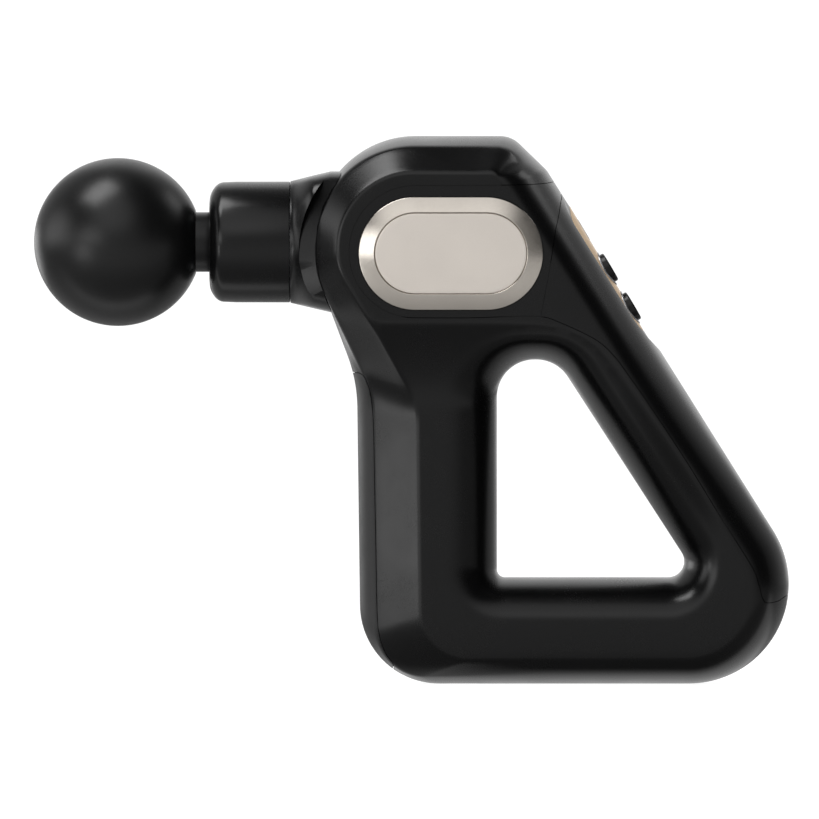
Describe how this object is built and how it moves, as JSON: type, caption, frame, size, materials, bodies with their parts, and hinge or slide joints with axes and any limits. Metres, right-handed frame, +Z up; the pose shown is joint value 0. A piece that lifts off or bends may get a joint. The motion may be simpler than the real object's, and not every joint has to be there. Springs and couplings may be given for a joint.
{
  "type": "massage gun",
  "caption": "Percussive massage gun with a triangular loop grip, round ball head on a sliding plunger, tapered neck, side badges and a sloping control panel with push buttons.",
  "frame": {"origin": "middle of the part's box in X and Y, on the plane of its flat base", "axes": "-X towards the massage ball along the plunger, +Y towards the motor side across the gun, +Z up away from the flat base of the grip"},
  "size_m": [0.245, 0.068, 0.1779],
  "materials": {
    "casing_black": "fine satin texture, moulded",
    "casing_satin": "satin, moulded",
    "grip_rubber": "matte overmoulded grip",
    "champagne_metal": "polished bevel, pale champagne plating",
    "champagne_plate": "bead blasted, pale champagne anodised",
    "seal_rubber": "matte",
    "bush_bronze": "sintered bearing bronze",
    "cast_aluminium": "die cast, bead blasted",
    "turned_aluminium": "turned and hard anodised",
    "screw_steel": "zinc plated",
    "lamination_steel": "stacked laminations, lacquered",
    "copper_wire": "enamelled copper, brass stands in for copper",
    "bearing_steel": "ground and polished",
    "machined_steel": "machined",
    "rotor_paint": "black lacquer",
    "magnet_nickel": "nickel plated",
    "ball_foam": "soft satin moulded foam skin",
    "stem_plastic": "moulded",
    "panel_gold": "satin anodised, warm gold",
    "button_chrome": "polished",
    "button_black": "soft satin",
    "lens_clear": "frosted light pipe",
    "lens_white": "diffuse",
    "board_green": "solder resist over glass fibre",
    "cell_sleeve": "printed heat shrink sleeve over a steel can; aluminium density stands in for the whole cell",
    "tab_nickel": "nickel strip",
    "wire_red": "silicone insulation"
  },
  "bodies": {
    "housing": {"shell_left": "casing_black", "shell_right": "casing_black", "head_saddle": "casing_satin", "rear_cover": "casing_satin", "grip_strip": "grip_rubber", "badge_ring_left": "champagne_metal", "badge_ring_right": "champagne_metal", "badge_plate_left": "champagne_plate", "badge_plate_right": "champagne_plate", "neck_cone": "casing_satin", "nose_collar": "casing_satin", "front_seal": "seal_rubber", "guide_bush": "bush_bronze", "drive_frame": "cast_aluminium", "frame_screws": "screw_steel", "shell_screws": "screw_steel", "motor_base": "cast_aluminium", "motor_stator": "lamination_steel", "motor_windings": "copper_wire", "motor_screws": "screw_steel", "bearing_outer_races": "bearing_steel", "control_panel": "panel_gold", "button_rings": "button_chrome", "indicator_lens": "lens_clear", "control_board": "board_green", "switch_bodies": "stem_plastic", "indicator_leds": "lens_white", "battery_cells": "cell_sleeve", "battery_holder": "stem_plastic", "battery_tabs": "tab_nickel", "motor_board": "board_green", "board_spacers": "stem_plastic", "charge_port": "button_chrome", "charge_board": "board_green", "wiring": "wire_red"},
    "rotor": {"bearing_inner_races": "bearing_steel", "bearing_balls": "bearing_steel", "motor_shaft": "bearing_steel", "rotor_can": "rotor_paint", "rotor_magnets": "magnet_nickel", "crank": "machined_steel", "crank_retainer": "screw_steel", "rod_bearing_inner": "bearing_steel", "rod_bearing_balls": "bearing_steel"},
    "rod": {"connecting_rod": "cast_aluminium", "rod_bearing_outer": "bearing_steel", "small_end_bush": "bush_bronze"},
    "plunger_body": {"plunger": "turned_aluminium", "wrist_pins": "bearing_steel"},
    "massage_head": {"ball_cover": "ball_foam", "head_stem": "stem_plastic", "shank_o_rings": "seal_rubber"},
    "power_key": {"power_button": "button_black", "power_switch_stem": "stem_plastic"},
    "speed_key": {"speed_button": "button_black", "speed_switch_stem": "stem_plastic"}
  },
  "joints": [
    {"name": "motor_spin", "type": "hinge", "parent": "housing", "child": "rotor", "pos_m": [0.00945, 0, 0.1435], "axis": [0, 1, 0], "continuous": true},
    {"name": "rod_pivot", "type": "hinge", "parent": "rotor", "child": "rod", "pos_m": [0.01545, 0, 0.1435], "axis": [0, 1, 0], "continuous": true},
    {"name": "plunger_slide", "type": "slide", "parent": "housing", "child": "plunger_body", "axis": [-1, 0, 0], "range_m": [0, 0.012]},
    {"name": "head_pull", "type": "slide", "parent": "plunger_body", "child": "massage_head", "axis": [-1, 0, 0], "range_m": [0, 0.03]},
    {"name": "power_press", "type": "slide", "parent": "housing", "child": "power_key", "axis": [-0.8599, 0, -0.5105], "range_m": [0, 0.0006]},
    {"name": "speed_press", "type": "slide", "parent": "housing", "child": "speed_key", "axis": [-0.8599, 0, -0.5105], "range_m": [0, 0.0006]}
  ],
  "couplings": [
    {"joint": "rod_pivot", "follows": "motor_spin", "ratio": -1}
  ]
}
